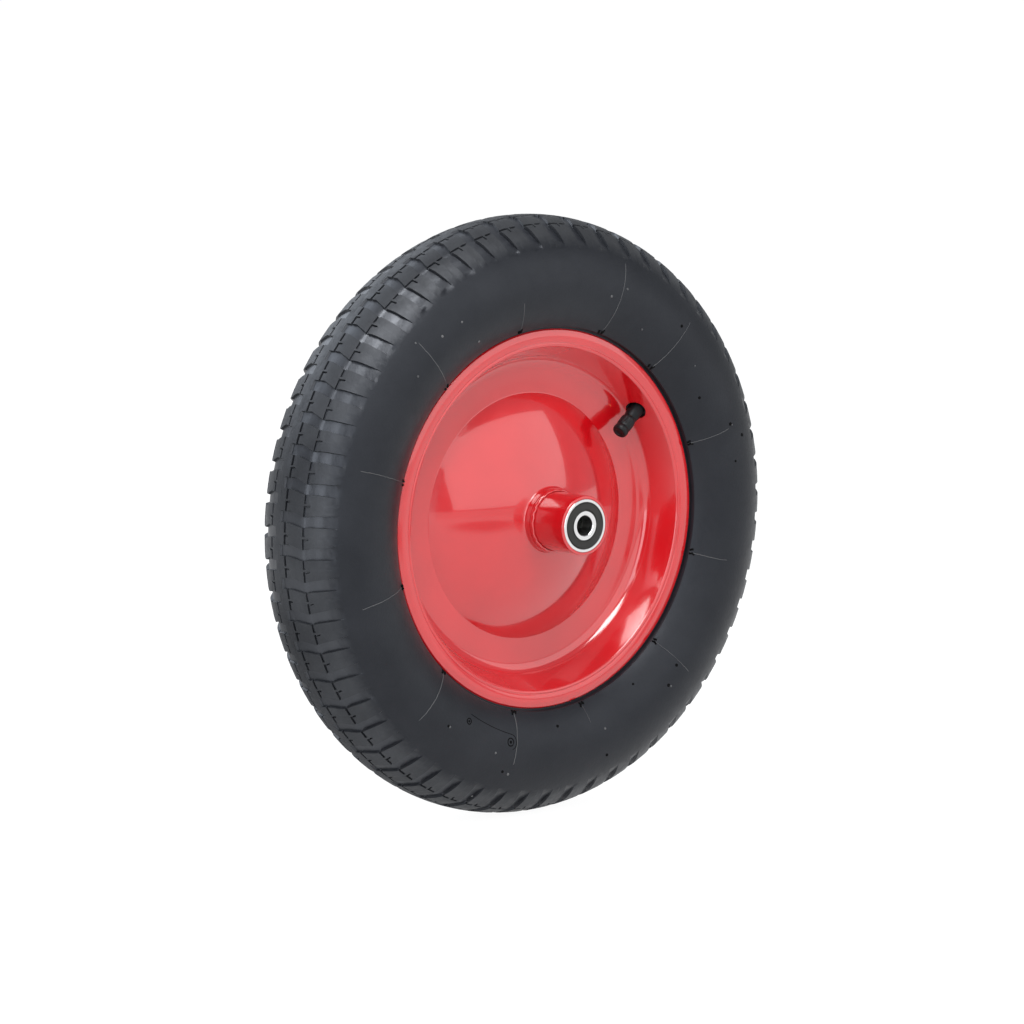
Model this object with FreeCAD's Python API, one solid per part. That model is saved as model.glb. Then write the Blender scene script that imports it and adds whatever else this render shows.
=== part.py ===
import FreeCAD, Part
import math
import os

Vector = FreeCAD.Vector

# Pneumatic wheel for a wheelbarrow or garden cart, in millimetres.
# The origin is the wheel's centre, +Y is the axle and +Z is up.
# A profile point is (r, h): r from the axle, h from the mid plane towards the front face,
# which looks along -Y.

# Tyre section: a nearly round section, open between two beads
TYRE_DIAMETER = 360.0
SECTION_RADIUS = 38.6
CROWN_WALL = 6.4
SIDE_WALL = 5.2
RIM_LINE_GAP = 0.7
RIM_LINE_HEIGHT = 2.3
RIM_LINE_TAPER = 0.8
BEAD_WIDTH = 9.2
BEAD_SEAT_GAP = 0.1
BEAD_HEEL_ROUND = 2.0
BEAD_TOE_ROUND = 0.6

# Tread: a slot from each shoulder to the crown in every pitch, half a pitch apart from side to side.
# The slot is deep across the shoulder, then shallower and set over across the crown.
# Positions round the wheel are shares of one pitch, and a block is what the slots leave.
TREAD_PITCHES = 58
SLOT_SHARE = 0.34
SLOT_MARGIN_SHARE = 0.04
SHOULDER_SLOT_DEPTH = 2.0
SHOULDER_SLOT_START_DEG = 28.4
SLOT_FLOOR_END_DEG = 46.0
SLOT_RUN_OUT_DEG = 57.0
CROWN_SLOT_DEPTH = 1.3
CROWN_SLOT_SHIFT_SHARE = 0.082
CROWN_SLOT_START_DEG = 4.0
FRONT_SLOT_START_DEG = 3.27

# Fine grooves round the tread, broken once in each block: distance from the mid plane,
# then the share of a block where the dash ends and where the run to the next slot starts
FINE_GROOVES = ((6.6, 0.46, 0.56), (18.4, 0.38, 0.50))
FINE_GROOVE_WIDTH = 1.2
FINE_GROOVE_DEPTH = 1.5
FINE_GROOVE_REACH = 0.4
CUTTER_OVERLAP = 1.5

# Inner tube
TUBE_WALL = 1.5
TUBE_CLEARANCE = 0.2
TUBE_CORNER_ROUND = 3.0

# Rim halves: two mirrored pressings of one sheet, joined face to face in the valley ring
SHEET = 1.5
FLANGE_RADIUS = 113.6
FLANGE_FACE = 26.4
WALL_TOP_RADIUS = 103.3
VALLEY_OUTER_RADIUS = 92.6
VALLEY_INNER_RADIUS = 88.3
STEP_OUTER_RADIUS = 79.5
DOME_BASE_RADIUS = 73.3
STEP_HEIGHT = 6.8
DOME_APEX = 29.0
NECK_RADIUS = 19.3
NECK_END = 32.0
FLANGE_ROUND = 3.5
VALLEY_ROUND = 3.2
STEP_ROUND = 6.0
DOME_BASE_ROUND = 3.0
NECK_ROUND = 2.0
DOME_BLEND = 0.94

# Hub tube and the weld beads round it
HUB_LENGTH = 120.0
HUB_DIAMETER = 35.4
HUB_BORE = 29.0
HUB_END_ROUND = 0.8
WELD_LENGTH = 3.2
WELD_BULGE_INSET = 0.4
WELD_BULGE_SHARE = 0.6

# Deep groove ball bearings, 12 x 32 x 10, sealed on both sides
BEARING_BORE = 12.0
BEARING_DIAMETER = 32.0
BEARING_WIDTH = 10.0
PITCH_DIAMETER = 22.0
BALL_DIAMETER = 5.953
BALL_COUNT = 7
RACE_CLEARANCE = 0.04
OUTER_SHOULDER_DIAMETER = 25.8
INNER_SHOULDER_DIAMETER = 18.3
SEAL_SEAT_DIAMETER = 28.3
SEAL_LAND_DIAMETER = 17.1
SEAL_SEAT_DEPTH = 1.15
SEAL_THICKNESS = 0.85
SEAL_EDGE_THICKNESS = 0.4
SEAL_EDGE_WIDTH = 0.8
SEAL_STEP_RUN = 0.25
SEAL_LIP_CLEARANCE = 0.1
RING_CHAMFER = 0.4
CAGE_THICKNESS = 0.8
CAGE_WIDTH = 7.0
CAGE_POCKET_CLEARANCE = 0.06

# Spacer sleeve between the two inner rings
SPACER_DIAMETER = 16.0
SPACER_BORE = 12.5

# Tube valve, in the front half's wall
VALVE_ANGLE_DEG = 36.4
VALVE_TILT_DEG = 9.5
VALVE_HEIGHT = 14.6
VALVE_HOLE_DIAMETER = 11.5
STEM_ROOT_DIAMETER = 10.6
STEM_NECK_DIAMETER = 8.2
STEM_ROOT_DEPTH = 9.0
STEM_TAPER_START = -3.4
STEM_TAPER_END = 4.0
STEM_TOP = 8.0
STEM_RELIEF = 0.3
THREAD_DIAMETER = 7.7
THREAD_TOP = 18.6
THREAD_CHAMFER = 0.5
INSERT_BODY_DIAMETER = 6.0
INSERT_FOOT = -4.0
AIRWAY_DIAMETER = 3.2
CORE_DIAMETER = 5.2
CORE_LENGTH = 9.0
CORE_RECESS = 0.6
CORE_BORE = 1.6
PIN_DIAMETER = 1.0
PIN_HEAD_DIAMETER = 1.5
PIN_HEAD_LENGTH = 0.6
PIN_RECESS = 0.2
PIN_CUP_DIAMETER = 2.6
PIN_CUP_LENGTH = 0.7
PIN_CUP_GAP = 0.05
CAP_DIAMETER = 9.5
CAP_WAIST_DIAMETER = 8.7
CAP_LENGTH = 12.4
CAP_CLEARANCE = 0.15
CAP_CROWN = 1.6
CAP_EDGE_ROUND = 1.2
STEM_CAP_GAP = 0.3

# Worked out from the sizes above
TYRE_RADIUS = TYRE_DIAMETER / 2
SECTION_CENTRE = TYRE_RADIUS - SECTION_RADIUS
CAVITY_RADIUS = SECTION_RADIUS - SIDE_WALL
CAVITY_CENTRE = TYRE_RADIUS - CROWN_WALL - CAVITY_RADIUS
FLANGE_BACK = FLANGE_FACE - SHEET
WALL_SLOPE = (WALL_TOP_RADIUS - VALLEY_OUTER_RADIUS) / (FLANGE_FACE - SHEET)
HALF_HUB = HUB_LENGTH / 2
PITCH_DEG = 360.0 / TREAD_PITCHES


def point(r, h):
    """Profile point (r, h) as a point of the plane that is turned about the axle."""
    return Vector(r, -h, 0)


def corner_path(corners):
    """Edges through the corners (r, h, round), with a tangent arc at each rounded corner."""
    edges = []
    start = point(corners[0][0], corners[0][1])
    for before, corner, after in zip(corners, corners[1:], corners[2:]):
        here = point(corner[0], corner[1])
        back = (point(before[0], before[1]) - here).normalize()
        ahead = (point(after[0], after[1]) - here).normalize()
        if corner[2] <= 0:
            edges.append(Part.LineSegment(start, here).toShape())
            start = here
            continue
        half = back.getAngle(ahead) / 2
        reach = corner[2] / math.tan(half)
        first = here + back * reach
        last = here + ahead * reach
        bisector = (back + ahead).normalize()
        middle = here + bisector * (corner[2] / math.sin(half) - corner[2])
        if (first - start).Length > 1e-6:
            edges.append(Part.LineSegment(start, first).toShape())
        edges.append(Part.Arc(first, middle, last).toShape())
        start = last
    end = point(corners[-1][0], corners[-1][1])
    if (end - start).Length > 1e-6:
        edges.append(Part.LineSegment(start, end).toShape())
    return edges


def closed_face(edges):
    """Flat face inside a closed run of edges."""
    return Part.Face(Part.Wire(Part.__sortEdges__(edges)))


def loop_face(corners):
    """Flat face inside a loop of corners (r, h, round)."""
    first, second = corners[0], corners[1]
    middle = ((first[0] + second[0]) / 2, (first[1] + second[1]) / 2, 0)
    return closed_face(corner_path([middle] + corners[1:] + [first, middle]))


def turned(face, angle=360.0):
    """Solid that a profile face sweeps about the axle."""
    solid = face.revolve(Vector(0, 0, 0), Vector(0, 1, 0), angle)
    return solid if solid.Volume > 0 else solid.reversed()


def to_back(shape):
    """The same piece on the back of the wheel."""
    return shape.mirror(Vector(0, 0, 0), Vector(0, 1, 0))


def section_point(radius, degrees):
    """Point at a radius and an angle round the tyre's section, 0 at the crown, plus to the front."""
    angle = math.radians(degrees)
    return SECTION_CENTRE + radius * math.cos(angle), radius * math.sin(angle)


def wall_radius(h):
    """Radius of the rim wall's inner face, between the valley and the flange."""
    return VALLEY_OUTER_RADIUS + (h - SHEET) * WALL_SLOPE


def seat_radius(h):
    """Radius of the rim wall's outer face, where the bead sits."""
    return wall_radius(h) + SHEET * math.sqrt(1 + WALL_SLOPE ** 2)


def cavity_h_to_r(h):
    """Radius where the tyre's inner surface stands at a distance h, near the bead."""
    return CAVITY_CENTRE - math.sqrt(CAVITY_RADIUS ** 2 - h ** 2)


def arc_edge(first, middle, last):
    return Part.Arc(point(*first), point(*middle), point(*last)).toShape()


def tyre_face():
    """Section of the tyre without its tread: round outside, bead feet and an open cavity."""
    toe = FLANGE_BACK - BEAD_WIDTH
    line_radius = FLANGE_RADIUS + RIM_LINE_GAP
    shoulder_h = FLANGE_BACK + RIM_LINE_HEIGHT
    root_h = shoulder_h + RIM_LINE_TAPER
    root_r = SECTION_CENTRE - math.sqrt(SECTION_RADIUS ** 2 - root_h ** 2)
    foot = [
        (root_r, root_h, 0),
        (line_radius, shoulder_h, 0),
        (line_radius, FLANGE_BACK, 0),
        (seat_radius(FLANGE_BACK) + BEAD_SEAT_GAP, FLANGE_BACK, BEAD_HEEL_ROUND),
        (seat_radius(toe) + BEAD_SEAT_GAP, toe, BEAD_TOE_ROUND),
        (cavity_h_to_r(toe), toe, 0),
    ]
    mirrored = [(r, -h, fillet) for r, h, fillet in foot]
    edges = corner_path(foot)
    edges += corner_path(mirrored)
    outer, inner = foot[0], foot[-1]
    edges.append(arc_edge(outer[:2], (TYRE_RADIUS, 0), (outer[0], -outer[1])))
    edges.append(arc_edge(inner[:2], (TYRE_RADIUS - CROWN_WALL, 0), (inner[0], -inner[1])))
    return closed_face(edges)


def slot_cutter(depth, start_deg, floor_end_deg, run_out_deg):
    """Tool for a part of a slot: its floor runs parallel to the crown, then may rise out of the tyre."""
    floor = SECTION_RADIUS - depth
    above = SECTION_RADIUS + CUTTER_OVERLAP
    floor_edge = [section_point(floor, start_deg + (floor_end_deg - start_deg) * t) for t in (0, 0.5, 1)]
    top_edge = [section_point(above, start_deg + (run_out_deg - start_deg) * t) for t in (1, 0.5, 0)]
    edges = [
        arc_edge(*floor_edge),
        Part.LineSegment(point(*floor_edge[-1]), point(*top_edge[0])).toShape(),
        arc_edge(*top_edge),
        Part.LineSegment(point(*top_edge[-1]), point(*floor_edge[0])).toShape(),
    ]
    return turned(closed_face(edges), PITCH_DEG * SLOT_SHARE)


def fine_groove_cutter(offset, length_deg):
    """Tool for a length of narrow groove round the tread, square to the tyre's surface."""
    angle = math.degrees(math.asin(offset / SECTION_RADIUS))
    half = math.degrees(FINE_GROOVE_WIDTH / 2 / SECTION_RADIUS)
    floor = SECTION_RADIUS - FINE_GROOVE_DEPTH
    above = SECTION_RADIUS + CUTTER_OVERLAP
    corners = [
        section_point(floor, angle - half) + (0,),
        section_point(floor, angle + half) + (0,),
        section_point(above, angle + half) + (0,),
        section_point(above, angle - half) + (0,),
    ]
    return turned(loop_face(corners), length_deg)


def at_angle(shape, degrees):
    """A copy of the shape turned about the axle."""
    copy = shape.copy()
    copy.rotate(Vector(0, 0, 0), Vector(0, 1, 0), degrees)
    return copy


def side_cutters():
    """Tools for the front half of one pitch: its slot in two parts, and the grooves in its block."""
    slot_deg = PITCH_DEG * SLOT_SHARE
    block_deg = PITCH_DEG - slot_deg
    shift_deg = PITCH_DEG * CROWN_SLOT_SHIFT_SHARE
    reach_deg = math.degrees(FINE_GROOVE_REACH / TYRE_RADIUS)
    shoulder = slot_cutter(
        SHOULDER_SLOT_DEPTH, SHOULDER_SLOT_START_DEG, SLOT_FLOOR_END_DEG, SLOT_RUN_OUT_DEG
    )
    crown = slot_cutter(
        CROWN_SLOT_DEPTH, CROWN_SLOT_START_DEG, SHOULDER_SLOT_START_DEG, SHOULDER_SLOT_START_DEG
    )
    tools = [shoulder, at_angle(crown, shift_deg)]
    tools.append(at_angle(fine_groove_cutter(0, slot_deg), shift_deg))
    for offset, dash_end, run_start in FINE_GROOVES:
        run = fine_groove_cutter(offset, block_deg * (1 - run_start) + reach_deg)
        tools.append(at_angle(run, shift_deg + slot_deg - reach_deg))
        dash = fine_groove_cutter(offset, block_deg * dash_end + reach_deg)
        tools.append(at_angle(dash, shift_deg + PITCH_DEG - block_deg * dash_end))
    return tools


def pitch_of_tread():
    """One pitch of the tyre. Each tool cuts twice, so that what crosses one end comes in at the other."""
    front = [at_angle(tool, PITCH_DEG * SLOT_MARGIN_SHARE) for tool in side_cutters()]
    back = [at_angle(to_back(tool), PITCH_DEG / 2) for tool in front]
    tools = front + back
    tools += [at_angle(tool, -PITCH_DEG) for tool in tools]
    return turned(tyre_face(), PITCH_DEG).cut(tools)


def is_pitch_end(face):
    """True for the two flat faces where one pitch meets the next."""
    if type(face.Surface).__name__ != "Plane" or abs(face.Surface.Axis.y) > 1e-6:
        return False
    middle = face.CenterOfMass
    angle = math.degrees(math.atan2(-middle.z, middle.x))
    return min(abs(angle), abs(angle - PITCH_DEG)) < 1e-4


def tyre():
    """The patterned pitches sewn into one skin, with the bead relieved round the valve."""
    skin = [face for face in pitch_of_tread().Faces if not is_pitch_end(face)]
    faces = []
    for index in range(TREAD_PITCHES):
        for face in skin:
            faces.append(at_angle(face, FRONT_SLOT_START_DEG + index * PITCH_DEG))
    sewn = Part.Compound(faces)
    sewn.sewShape()
    body = Part.Solid(sewn.Shells[0])
    if body.Volume < 0:
        body.reverse()
    return single(body.cut(stem_cylinder(STEM_ROOT_DIAMETER / 2 + STEM_RELIEF)))


def tube_face(inset):
    """Section of the inner tube, held back from the tyre, the beads and the rim by an inset."""
    toe = FLANGE_BACK - BEAD_WIDTH - inset
    radius = CAVITY_RADIUS - inset
    shoulder = CAVITY_CENTRE - math.sqrt(radius ** 2 - toe ** 2)
    lift = inset * math.sqrt(1 + WALL_SLOPE ** 2)
    floor_h = VALLEY_ROUND
    toe_round = TUBE_CORNER_ROUND - inset
    outline = [
        (shoulder, toe, 0),
        (seat_radius(toe) + lift, toe, toe_round),
        (seat_radius(floor_h) + lift, floor_h, TUBE_CORNER_ROUND),
        (seat_radius(floor_h) + lift, -floor_h, TUBE_CORNER_ROUND),
        (seat_radius(toe) + lift, -toe, toe_round),
        (shoulder, -toe, 0),
    ]
    edges = corner_path(outline)
    edges.append(arc_edge(outline[0][:2], (CAVITY_CENTRE + radius, 0), outline[-1][:2]))
    return closed_face(edges)


def inner_tube():
    """Hollow ring of rubber that fills the tyre, with a hole for the valve stem."""
    skin = turned(tube_face(TUBE_CLEARANCE))
    air = turned(tube_face(TUBE_CLEARANCE + TUBE_WALL))
    return single(skin.cut(air).cut(stem_cylinder(STEM_ROOT_DIAMETER / 2)))


def rim_face_line():
    """Visible face of a rim half, from the neck round the hub out to the flange's edge."""
    base_slope_angle = math.asin(DOME_BASE_RADIUS / dome_radius())
    neck_slope_angle = math.asin(NECK_RADIUS / dome_radius())
    neck_h = DOME_APEX - dome_radius() + math.sqrt(dome_radius() ** 2 - NECK_RADIUS ** 2)
    base_slope = math.tan(base_slope_angle)
    neck_slope = math.tan(neck_slope_angle)
    crown_r = (neck_h - STEP_HEIGHT + neck_slope * NECK_RADIUS - base_slope * DOME_BASE_RADIUS)
    crown_r /= neck_slope - base_slope
    crown_h = neck_h - neck_slope * (crown_r - NECK_RADIUS)
    return [
        (NECK_RADIUS, NECK_END, 0),
        (NECK_RADIUS, neck_h, NECK_ROUND),
        (crown_r, crown_h, DOME_BLEND * dome_radius()),
        (DOME_BASE_RADIUS, STEP_HEIGHT, DOME_BASE_ROUND),
        (STEP_OUTER_RADIUS, STEP_HEIGHT, STEP_ROUND),
        (VALLEY_INNER_RADIUS, SHEET, VALLEY_ROUND),
        (VALLEY_OUTER_RADIUS, SHEET, VALLEY_ROUND),
        (WALL_TOP_RADIUS, FLANGE_FACE, FLANGE_ROUND),
        (FLANGE_RADIUS, FLANGE_FACE, 0),
    ]


def dome_radius():
    """Radius of the ball that the dome is cut from, through its apex and its base circle."""
    rise = DOME_APEX - STEP_HEIGHT
    return (DOME_BASE_RADIUS ** 2 + rise ** 2) / (2 * rise)


def rim_half():
    """One pressed half of the rim: the face line given the sheet's thickness, then turned."""
    face_line = Part.Wire(corner_path(rim_face_line()))
    sheet = face_line.makeOffset2D(-SHEET, join=2, fill=True, openResult=True)
    return turned(sheet)


def rim_half_front():
    """The front half, with the valve's hole square to its wall."""
    return single(rim_half().cut(valve_hole()))


def rim_half_back():
    return to_back(rim_half())


def hub_tube():
    """Tube through both rim halves, bored out at each end for a bearing."""
    outside = HUB_DIAMETER / 2
    bore = HUB_BORE / 2
    seat = BEARING_DIAMETER / 2
    shoulder = HALF_HUB - BEARING_WIDTH
    return turned(loop_face([
        (bore, shoulder, 0),
        (seat, shoulder, 0),
        (seat, HALF_HUB, 0),
        (outside, HALF_HUB, HUB_END_ROUND),
        (outside, -HALF_HUB, HUB_END_ROUND),
        (seat, -HALF_HUB, 0),
        (seat, -shoulder, 0),
        (bore, -shoulder, 0),
    ]))


def hub_weld():
    """Bead between the end of a rim half's neck and the hub tube."""
    tube_r = HUB_DIAMETER / 2
    top = NECK_END + WELD_LENGTH
    bulge = (NECK_RADIUS - WELD_BULGE_INSET, NECK_END + WELD_LENGTH * WELD_BULGE_SHARE)
    return turned(closed_face([
        Part.LineSegment(point(tube_r, NECK_END), point(NECK_RADIUS, NECK_END)).toShape(),
        arc_edge((NECK_RADIUS, NECK_END), bulge, (tube_r, top)),
        Part.LineSegment(point(tube_r, top), point(tube_r, NECK_END)).toShape(),
    ]))


def race_edges(shoulder, outward):
    """Land and ball groove of a bearing ring, from its front seal seat to its back one."""
    groove = BALL_DIAMETER / 2 + RACE_CLEARANCE
    pitch = PITCH_DIAMETER / 2
    middle = HALF_HUB - BEARING_WIDTH / 2
    half_width = math.sqrt(groove ** 2 - (shoulder - pitch) ** 2)
    land = BEARING_WIDTH / 2 - SEAL_SEAT_DEPTH
    side = 1 if outward else -1
    return [
        Part.LineSegment(point(shoulder, middle + land), point(shoulder, middle + half_width)).toShape(),
        arc_edge((shoulder, middle + half_width), (pitch + side * groove, middle),
                 (shoulder, middle - half_width)),
        Part.LineSegment(point(shoulder, middle - half_width), point(shoulder, middle - land)).toShape(),
    ]


def bearing_ring(wall, seat, shoulder):
    """A bearing ring between its plain wall and its ball groove, stepped at both faces for a seal."""
    outward = wall > shoulder
    chamfer = RING_CHAMFER if outward else -RING_CHAMFER
    face = HALF_HUB
    back = HALF_HUB - BEARING_WIDTH
    edges = race_edges(shoulder, outward)
    edges += corner_path([
        (shoulder, back + SEAL_SEAT_DEPTH, 0),
        (seat, back + SEAL_SEAT_DEPTH, 0),
        (seat, back, 0),
        (wall - chamfer, back, 0),
        (wall, back + RING_CHAMFER, 0),
        (wall, face - RING_CHAMFER, 0),
        (wall - chamfer, face, 0),
        (seat, face, 0),
        (seat, face - SEAL_SEAT_DEPTH, 0),
        (shoulder, face - SEAL_SEAT_DEPTH, 0),
    ])
    return turned(closed_face(edges))


def outer_ring():
    return bearing_ring(BEARING_DIAMETER / 2, SEAL_SEAT_DIAMETER / 2, OUTER_SHOULDER_DIAMETER / 2)


def inner_ring():
    return bearing_ring(BEARING_BORE / 2, SEAL_LAND_DIAMETER / 2, INNER_SHOULDER_DIAMETER / 2)


def bearing_seal():
    """Rubber seal pressed in the outer ring, just clear of the inner ring, thicker in its middle."""
    lip = SEAL_LAND_DIAMETER / 2 + SEAL_LIP_CLEARANCE
    edge = SEAL_SEAT_DIAMETER / 2
    floor = HALF_HUB - SEAL_SEAT_DEPTH
    low = floor + SEAL_EDGE_THICKNESS
    top = floor + SEAL_THICKNESS
    return turned(loop_face([
        (lip, floor, 0),
        (edge, floor, 0),
        (edge, low, 0),
        (edge - SEAL_EDGE_WIDTH, low, 0),
        (edge - SEAL_EDGE_WIDTH - SEAL_STEP_RUN, top, 0),
        (lip + SEAL_EDGE_WIDTH + SEAL_STEP_RUN, top, 0),
        (lip + SEAL_EDGE_WIDTH, low, 0),
        (lip, low, 0),
    ]))


def ball_places():
    """Centres of the balls of the front bearing."""
    middle = HALF_HUB - BEARING_WIDTH / 2
    places = []
    for index in range(BALL_COUNT):
        angle = 2 * math.pi * index / BALL_COUNT
        x = PITCH_DIAMETER / 2 * math.cos(angle)
        z = PITCH_DIAMETER / 2 * math.sin(angle)
        places.append(Vector(x, -middle, z))
    return places


def ball_set():
    """The balls of one bearing, as separate solids."""
    return Part.Compound([Part.makeSphere(BALL_DIAMETER / 2, place) for place in ball_places()])


def cage():
    """Ring that keeps the balls apart, with one round pocket for each."""
    middle = HALF_HUB - BEARING_WIDTH / 2
    inside = (PITCH_DIAMETER - CAGE_THICKNESS) / 2
    outside = (PITCH_DIAMETER + CAGE_THICKNESS) / 2
    band = turned(loop_face([
        (inside, middle - CAGE_WIDTH / 2, 0),
        (outside, middle - CAGE_WIDTH / 2, 0),
        (outside, middle + CAGE_WIDTH / 2, 0),
        (inside, middle + CAGE_WIDTH / 2, 0),
    ]))
    pocket = BALL_DIAMETER / 2 + CAGE_POCKET_CLEARANCE
    return single(band.cut([Part.makeSphere(pocket, place) for place in ball_places()]))


def seal_to_inside(shape):
    """The front bearing's outer seal moved to that bearing's other face."""
    middle = HALF_HUB - BEARING_WIDTH / 2
    return shape.mirror(Vector(0, -middle, 0), Vector(0, 1, 0))


def spacer_sleeve():
    """Sleeve that holds the two inner rings apart when the axle is tightened."""
    half = HALF_HUB - BEARING_WIDTH
    return turned(loop_face([
        (SPACER_BORE / 2, half, 0),
        (SPACER_DIAMETER / 2, half, 0),
        (SPACER_DIAMETER / 2, -half, 0),
        (SPACER_BORE / 2, -half, 0),
    ]))


def single(shape):
    """The one solid of a shape, or the shape itself where it holds several."""
    return shape.Solids[0] if len(shape.Solids) == 1 else shape


def along_valve(shape, offset=0.0):
    """Places a shape made along +Z on the valve's axis, offset from the rim wall towards the hub."""
    outward, front = valve_frame()
    tilt = math.radians(VALVE_TILT_DEG)
    axis = front * math.sin(tilt) - outward * math.cos(tilt)
    placed = shape.copy()
    placed.Placement = FreeCAD.Placement(valve_root() + axis * offset,
                                         FreeCAD.Rotation(Vector(0, 0, 1), axis))
    return placed


def valve_frame():
    """Directions away from the axle and to the front, at the valve."""
    angle = math.radians(VALVE_ANGLE_DEG)
    return Vector(math.cos(angle), 0, math.sin(angle)), Vector(0, -1, 0)


def valve_root():
    """Point where the valve's axis meets the rim wall's inner face."""
    outward, front = valve_frame()
    return outward * wall_radius(VALVE_HEIGHT) + front * VALVE_HEIGHT


def valve_hole():
    """Tool for the valve's hole, square to the rim wall."""
    outward, front = valve_frame()
    slope = math.atan(WALL_SLOPE)
    normal = outward * math.cos(slope) - front * math.sin(slope)
    tool = Part.makeCylinder(VALVE_HOLE_DIAMETER / 2, 4 * SHEET)
    tool.Placement = FreeCAD.Placement(valve_root() - normal * 2 * SHEET,
                                       FreeCAD.Rotation(Vector(0, 0, 1), normal))
    return tool


def stem_cylinder(radius):
    """Cylinder round the stem's root, from inside the tube out to the rim wall."""
    return along_valve(Part.makeCylinder(radius, 2 * STEM_ROOT_DEPTH), -2 * STEM_ROOT_DEPTH)


def spun(corners):
    """Solid of revolution along the valve's axis from corners (radius, distance along it)."""
    loop = [Vector(radius, 0, along) for radius, along in corners]
    face = Part.Face(Part.makePolygon(loop + [loop[0]]))
    solid = face.revolve(Vector(0, 0, 0), Vector(0, 0, 1), 360)
    return along_valve(solid if solid.Volume > 0 else solid.reversed())


def valve_stem():
    """Rubber stem moulded on the tube: a thick root, a taper through the rim and a slim neck."""
    root = STEM_ROOT_DIAMETER / 2
    neck = STEM_NECK_DIAMETER / 2
    insert = INSERT_BODY_DIAMETER / 2
    airway = AIRWAY_DIAMETER / 2
    return spun([
        (airway, -STEM_ROOT_DEPTH),
        (root, -STEM_ROOT_DEPTH),
        (root, STEM_TAPER_START),
        (neck, STEM_TAPER_END),
        (neck, STEM_TOP),
        (insert, STEM_TOP),
        (insert, INSERT_FOOT),
        (airway, INSERT_FOOT),
    ])


def valve_insert():
    """Brass tube bonded in the stem, with the thread that takes the cap above it."""
    body = INSERT_BODY_DIAMETER / 2
    thread = THREAD_DIAMETER / 2
    airway = AIRWAY_DIAMETER / 2
    core_foot = THREAD_TOP - CORE_RECESS - CORE_LENGTH
    return spun([
        (airway, INSERT_FOOT),
        (body, INSERT_FOOT),
        (body, STEM_TOP),
        (thread, STEM_TOP),
        (thread, THREAD_TOP - THREAD_CHAMFER),
        (thread - THREAD_CHAMFER, THREAD_TOP),
        (CORE_DIAMETER / 2, THREAD_TOP),
        (CORE_DIAMETER / 2, core_foot),
        (airway, core_foot),
    ])


def valve_core():
    """Body of the valve core, screwed in the insert, with the pin's guide through it."""
    top = THREAD_TOP - CORE_RECESS
    return spun([
        (CORE_BORE / 2, top - CORE_LENGTH),
        (CORE_DIAMETER / 2, top - CORE_LENGTH),
        (CORE_DIAMETER / 2, top),
        (CORE_BORE / 2, top),
    ])


def valve_pin():
    """Pin through the core: a button to press, and below the core the cup that seals it."""
    top = THREAD_TOP - PIN_RECESS
    shaft = PIN_DIAMETER / 2
    head = PIN_HEAD_DIAMETER / 2
    core_foot = THREAD_TOP - CORE_RECESS - CORE_LENGTH
    cup_top = core_foot - PIN_CUP_GAP
    return spun([
        (0, cup_top - PIN_CUP_LENGTH),
        (PIN_CUP_DIAMETER / 2, cup_top - PIN_CUP_LENGTH),
        (PIN_CUP_DIAMETER / 2, cup_top),
        (shaft, cup_top),
        (shaft, top - PIN_HEAD_LENGTH),
        (head, top - PIN_HEAD_LENGTH),
        (head, top),
        (0, top),
    ])


def valve_cap():
    """Screw cap: a round skirt with a grip waist, closed at its outer end."""
    start = STEM_TOP + STEM_CAP_GAP
    outside = CAP_DIAMETER / 2
    inside = THREAD_DIAMETER / 2 + CAP_CLEARANCE
    end = start + CAP_LENGTH
    return spun([
        (inside, start),
        (CAP_WAIST_DIAMETER / 2, start),
        (outside, start + CAP_EDGE_ROUND),
        (outside, end - CAP_EDGE_ROUND),
        (outside - CAP_EDGE_ROUND, end),
        (0, end),
        (0, end - CAP_CROWN),
        (inside, end - CAP_CROWN),
    ])


def build():
    """Every piece of the wheel, by name."""
    pieces = {
        "tyre": tyre(),
        "inner_tube": inner_tube(),
        "rim_half_front": rim_half_front(),
        "rim_half_back": rim_half_back(),
        "hub_tube": hub_tube(),
        "spacer_sleeve": spacer_sleeve(),
        "valve_stem": valve_stem(),
        "valve_insert": valve_insert(),
        "valve_core": valve_core(),
        "valve_pin": valve_pin(),
        "valve_cap": valve_cap(),
    }
    seal = bearing_seal()
    paired = {
        "hub_weld": hub_weld(),
        "outer_ring": outer_ring(),
        "inner_ring": inner_ring(),
        "ball_set": ball_set(),
        "ball_cage": cage(),
        "outer_seal": seal,
        "inner_seal": seal_to_inside(seal),
    }
    for name, shape in paired.items():
        pieces[name + "_front"] = shape
        pieces[name + "_back"] = to_back(shape)
    return pieces


def main():
    os.makedirs("parts", exist_ok=True)
    for name, shape in build().items():
        shape.exportStep("parts/" + name + ".step")


main()
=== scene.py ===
import math

import bpy
import numpy as np
from mathutils import Matrix, Vector

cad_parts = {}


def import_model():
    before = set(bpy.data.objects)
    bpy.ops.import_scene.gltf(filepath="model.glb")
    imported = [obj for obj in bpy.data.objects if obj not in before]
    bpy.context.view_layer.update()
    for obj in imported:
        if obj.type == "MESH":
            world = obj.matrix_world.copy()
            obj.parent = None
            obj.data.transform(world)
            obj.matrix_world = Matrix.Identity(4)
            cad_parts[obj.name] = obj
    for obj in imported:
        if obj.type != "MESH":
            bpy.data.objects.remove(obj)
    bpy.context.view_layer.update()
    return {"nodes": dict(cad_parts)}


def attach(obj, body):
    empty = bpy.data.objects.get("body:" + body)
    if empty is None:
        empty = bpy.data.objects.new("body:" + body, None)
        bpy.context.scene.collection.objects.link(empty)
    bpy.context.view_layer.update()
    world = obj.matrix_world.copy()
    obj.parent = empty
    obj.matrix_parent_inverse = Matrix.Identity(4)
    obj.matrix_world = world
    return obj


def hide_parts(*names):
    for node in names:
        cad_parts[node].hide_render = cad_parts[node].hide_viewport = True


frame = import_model()
RANDOM = np.random.default_rng(58)

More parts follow.
